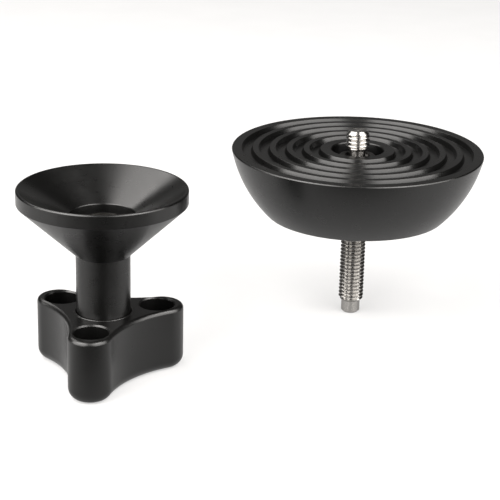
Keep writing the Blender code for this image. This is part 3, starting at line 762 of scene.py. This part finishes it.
def lathe_sheen(tree, shader, amount):
    """Highlights drawn out across the tool marks, which run round the axis."""
    around = tree.nodes.new("ShaderNodeTangent")
    around.direction_type = "RADIAL"
    around.axis = "Z"
    tree.links.new(around.outputs[0], shader.inputs["Tangent"])
    shader.inputs["Anisotropic"].default_value = amount
    shader.inputs["Anisotropic Rotation"].default_value = ACROSS_THE_MARKS


def black_anodised(name, axis, turning, grain, low, high, sheen):
    """Dyed anodising on turned or blasted aluminium: dark, satin, a little worn on its edges.

    Turning and grain are the depths of its tool marks and of its blasting, low and high the
    ends of its roughness, and sheen how far the tool marks draw out its highlights.
    """
    made = bpy.data.materials.new(name)
    made.use_nodes = True
    tree = made.node_tree
    shader = tree.nodes["Principled BSDF"]
    path = turning_coordinates(tree, axis)
    place = tree.nodes.new("ShaderNodeTexCoord").outputs["Object"]
    worn, rounded = worn_edges(tree)
    patches = noise(tree, place, WEAR_PATTERN, 4)
    worn_here = maths(tree, "MULTIPLY", worn, between(tree, patches, WEAR_LEAST, WEAR_MOST))
    colour = blended(tree, worn_here, DYE, WORN_DYE)
    tree.links.new(colour, shader.inputs["Base Color"])
    smooth = between(tree, noise(tree, place, DYE_HANDLING_PATTERN, 5), low, high)
    tool = noise(tree, path, DYE_TOOL_PATTERN, 2)
    marks = between(tree, tool, -TOOL_MARK_ROUGHNESS, TOOL_MARK_ROUGHNESS)
    tree.links.new(maths(tree, "ADD", smooth, marks), shader.inputs["Roughness"])
    shader.inputs["Metallic"].default_value = 0
    shader.inputs["IOR"].default_value = 1.5
    lathe_sheen(tree, shader, sheen)
    rings = bump(tree, noise(tree, path, DYE_GRAIN_PATTERN, 3), turning, rounded)
    blasted = bump(tree, noise(tree, place, DYE_GRAIN_PATTERN, 3), grain, rings)
    tree.links.new(blasted, shader.inputs["Normal"])
    return made


def steel(name, axis, colour, low, high, marks, sheen):
    """Turned steel with fine tool marks round its axis and faint smears of handling.

    Low and high are the ends of its roughness, marks the depth of its tool marks, and sheen how
    far these draw out its highlights.
    """
    made = bpy.data.materials.new(name)
    made.use_nodes = True
    tree = made.node_tree
    shader = tree.nodes["Principled BSDF"]
    path = turning_coordinates(tree, axis)
    place = tree.nodes.new("ShaderNodeTexCoord").outputs["Object"]
    shader.inputs["Metallic"].default_value = 1
    lathe_sheen(tree, shader, sheen)
    darker = tuple(part * STEEL_DARKER for part in colour)
    shade = blended(tree, noise(tree, path, STEEL_SHADE_PATTERN, 4), darker, colour)
    tree.links.new(shade, shader.inputs["Base Color"])
    smears = noise(tree, place, STEEL_HANDLING_PATTERN, 4)
    tree.links.new(between(tree, smears, low, high), shader.inputs["Roughness"])
    tool = noise(tree, path, STEEL_TOOL_PATTERN, 3)
    tree.links.new(bump(tree, tool, marks), shader.inputs["Normal"])
    return made


def black_steel(name, axis):
    """The dark steel of the bush, the spindle and the fasteners."""
    return steel(name, axis, BLACK_STEEL, low=0.3, high=0.42, marks=0.003 * MM, sheen=0.5)


def acetal(name, axis, low, high, marks):
    """Turned black plastic with faint tool marks.

    Low and high are the ends of its roughness, and marks the depth of its tool marks.
    """
    made = bpy.data.materials.new(name)
    made.use_nodes = True
    tree = made.node_tree
    shader = tree.nodes["Principled BSDF"]
    place = tree.nodes.new("ShaderNodeTexCoord").outputs["Object"]
    path = turning_coordinates(tree, axis)
    shader.inputs["Metallic"].default_value = 0
    shade = blended(tree, noise(tree, place, ACETAL_SHADE_PATTERN, 3), ACETAL_DARK, ACETAL_LIGHT)
    tree.links.new(shade, shader.inputs["Base Color"])
    smears = noise(tree, place, ACETAL_HANDLING_PATTERN, 3)
    tree.links.new(between(tree, smears, low, high), shader.inputs["Roughness"])
    tool = noise(tree, path, ACETAL_TOOL_PATTERN, 3)
    tree.links.new(bump(tree, tool, marks), shader.inputs["Normal"])
    return made


def resurface(node, surface):
    """A better finish on a part that is shown as it was packed."""
    for slot in frame["nodes"][node].material_slots:
        slot.material = surface


def pieces():
    """The pieces that show, made again on their own axes, and better finishes for the rest."""
    centre = Vector((0, 0, 0))
    anodised = black_anodised(
        "turned_anodised",
        centre,
        turning=0.0001 * MM,
        grain=0.0002 * MM,
        low=0.27,
        high=0.31,
        sheen=0.6,
    )
    blasted = black_anodised(
        "milled_anodised",
        centre,
        turning=0,
        grain=0.001 * MM,
        low=0.28,
        high=0.32,
        sheen=0,
    )
    bright = steel(
        "bright_stainless",
        centre,
        STAINLESS,
        low=0.23,
        high=0.28,
        marks=0.0004 * MM,
        sheen=0.85,
    )
    bush = black_steel("bush_steel", centre)
    dark = black_steel("black_steel_tie_down", TIE_DOWN_AXIS)
    dark_ball = black_steel("black_steel_ball", BALL_AXIS)
    plastic = acetal("washer_acetal", TIE_DOWN_AXIS, low=0.45, high=0.55, marks=0.004 * MM)

    show(half_ball_mesh(), "half_ball_turned", anodised, BALL_AXIS, "ball", "black_anodised", "half_ball")
    show(bush_mesh(), "stud_bush_turned", bush, BALL_AXIS, "ball", "black_steel", "stud_bush")
    show(stud_mesh(), "tripod_stud_threaded", bright, BALL_AXIS, "stud", "stainless", "tripod_stud")
    show(cup_mesh(), "clamp_cup_turned", anodised, TIE_DOWN_AXIS, "cup", "black_anodised", "clamp_cup")
    show(
        insert_mesh(),
        "thread_insert_tapped",
        bright,
        TIE_DOWN_AXIS,
        "tie_down",
        "stainless",
        "thread_insert",
    )
    show(knob_mesh(), "knob_milled", blasted, TIE_DOWN_AXIS, "tie_down", "black_anodised", "tie_down_knob")
    for node in ("spindle", "circlip", "base_washer", "base_screw", "knob_grub_screw"):
        resurface(node, dark)
    for node in ("upper_thrust_washer", "lower_thrust_washer"):
        resurface(node, plastic)
    resurface("stud_washer", dark_ball)


def floor():
    """White table, glowing a little. Its reflections take painted shade, darkest in front, below the
    camera.
    """
    side = FLOOR_HALF_WIDTH
    mesh = bpy.data.meshes.new("floor")
    corners = [(-side, -side, 0), (side, -side, 0), (side, side, 0), (-side, side, 0)]
    mesh.from_pydata(corners, [], [(0, 1, 2, 3)])
    made = bpy.data.materials.new("floor")
    made.use_nodes = True
    tree = made.node_tree
    shader = tree.nodes["Principled BSDF"]
    place = tree.nodes.new("ShaderNodeTexCoord").outputs["Object"]
    away = tree.nodes.new("ShaderNodeVectorMath")
    away.operation = "DISTANCE"
    away.inputs[1].default_value = PAINTED_SHADE_MIDDLE
    tree.links.new(place, away.inputs[0])
    # Painted shade on the floor as the object mirrors it: nearly black in a patch in front, below the
    # camera, and a little dimmer elsewhere. The camera sees the floor without it.
    painted_shade = tree.nodes.new("ShaderNodeMapRange")
    painted_shade.interpolation_type = "SMOOTHSTEP"
    painted_shade.inputs["From Min"].default_value = PAINTED_SHADE_RADIUS
    painted_shade.inputs["From Max"].default_value = PAINTED_SHADE_RADIUS + PAINTED_SHADE_FADE
    painted_shade.inputs["To Min"].default_value = 1 - PAINTED_SHADE_KEEPS
    painted_shade.inputs["To Max"].default_value = 1 - PAINTED_SHADE_ELSEWHERE_KEEPS
    tree.links.new(away.outputs["Value"], painted_shade.inputs["Value"])
    mirrored = tree.nodes.new("ShaderNodeLightPath").outputs["Is Glossy Ray"]
    seen = maths(tree, "SUBTRACT", 1, maths(tree, "MULTIPLY", mirrored, painted_shade.outputs["Result"]))
    grain = between(tree, noise(tree, place, FLOOR_PATTERN, 3), 1 - FLOOR_GRAIN, 1)
    shade = maths(tree, "MULTIPLY", seen, grain)
    # The floor's colour and its glow both take the painted shade in reflections, and the grain everywhere.
    tree.links.new(blended(tree, shade, BLACK, FLOOR_COLOUR), shader.inputs["Base Color"])
    tree.links.new(blended(tree, shade, BLACK, WHITE), shader.inputs["Emission Color"])
    shader.inputs["Emission Strength"].default_value = FLOOR_GLOW
    shader.inputs["Roughness"].default_value = FLOOR_ROUGHNESS
    shader.inputs["Specular IOR Level"].default_value = FLOOR_SPECULAR
    mesh.materials.append(made)
    obj = bpy.data.objects.new("floor", mesh)
    bpy.context.scene.collection.objects.link(obj)


def softbox(name, place, target, width, height, power):
    """A soft lamp of this width and height in metres, turned towards a point."""
    light = bpy.data.lights.new(name, "AREA")
    light.shape = "RECTANGLE"
    light.size = width
    light.size_y = height
    light.energy = power
    light.color = LAMP_COLOUR
    lamp = bpy.data.objects.new(name, light)
    lamp.location = place
    lamp.rotation_mode = "QUATERNION"
    lamp.rotation_quaternion = (Vector(target) - Vector(place)).to_track_quat("-Z", "Y")
    bpy.context.scene.collection.objects.link(lamp)


def world():
    """White behind everything for the camera, and a dim room for the rest."""
    made = bpy.data.worlds.new("studio")
    bpy.context.scene.world = made
    made.use_nodes = True
    tree = made.node_tree
    tree.nodes.clear()
    seen = tree.nodes.new("ShaderNodeLightPath").outputs["Is Camera Ray"]
    room = blended(tree, seen, ROOM, WHITE)
    shader = tree.nodes.new("ShaderNodeBackground")
    tree.links.new(room, shader.inputs["Color"])
    shader.inputs["Strength"].default_value = 1
    out = tree.nodes.new("ShaderNodeOutputWorld")
    tree.links.new(shader.outputs[0], out.inputs["Surface"])


def lights():
    """Two large boxes with a slit between them at the camera, and a lying one above each.

    The screw mirrors the slit as its dark middle. A box high behind on the left makes the streak
    in the cup, and a dim card low behind is what the platform's lands mirror. The lying boxes aim
    a millimetre off straight down, because straight down says nothing of which way is up.
    """
    middle = (0, 0, 0.05)
    below_left = (-0.62, -0.349, 0)
    below_right = (0.62, -0.349, 0)
    softbox("front_left_box", (-0.69, -0.49, 0.62), middle, width=1.42, height=1.1, power=31)
    softbox("front_right_box", (0.7, -0.49, 0.62), middle, width=1.42, height=1.1, power=27)
    softbox("top_left_box", (-0.62, -0.35, 1.1), below_left, width=0.7, height=0.6, power=9)
    softbox("top_right_box", (0.62, -0.35, 1.1), below_right, width=0.7, height=0.6, power=9)
    softbox("back_left_box", (-0.5, 0.46, 0.95), middle, width=0.62, height=0.7, power=5.8)
    softbox("back_card", (0, 1.1, 0.42), middle, width=1.2, height=0.4, power=0.22)


def camera():
    """The photo's view, placed from the half ball."""
    data = bpy.data.cameras.new("photo")
    data.lens = LENS
    data.sensor_width = SENSOR
    data.clip_start = VIEW_STARTS
    data.clip_end = VIEW_ENDS
    obj = bpy.data.objects.new("photo", data)
    bpy.context.scene.collection.objects.link(obj)
    place = BALL_AXIS + Vector((VIEW_RIGHT_OF_BALL, -VIEW_IN_FRONT_OF_BALL, VIEW_HEIGHT))
    turn = Matrix.Rotation(pi / 2 - VIEW_TILT_DOWN, 4, "X") @ Matrix.Rotation(VIEW_ROLL, 4, "Z")
    obj.matrix_world = Matrix.Translation(place) @ turn
    bpy.context.scene.camera = obj


pieces()
floor()
world()
lights()
camera()
bpy.context.scene.view_settings.view_transform = "Standard"
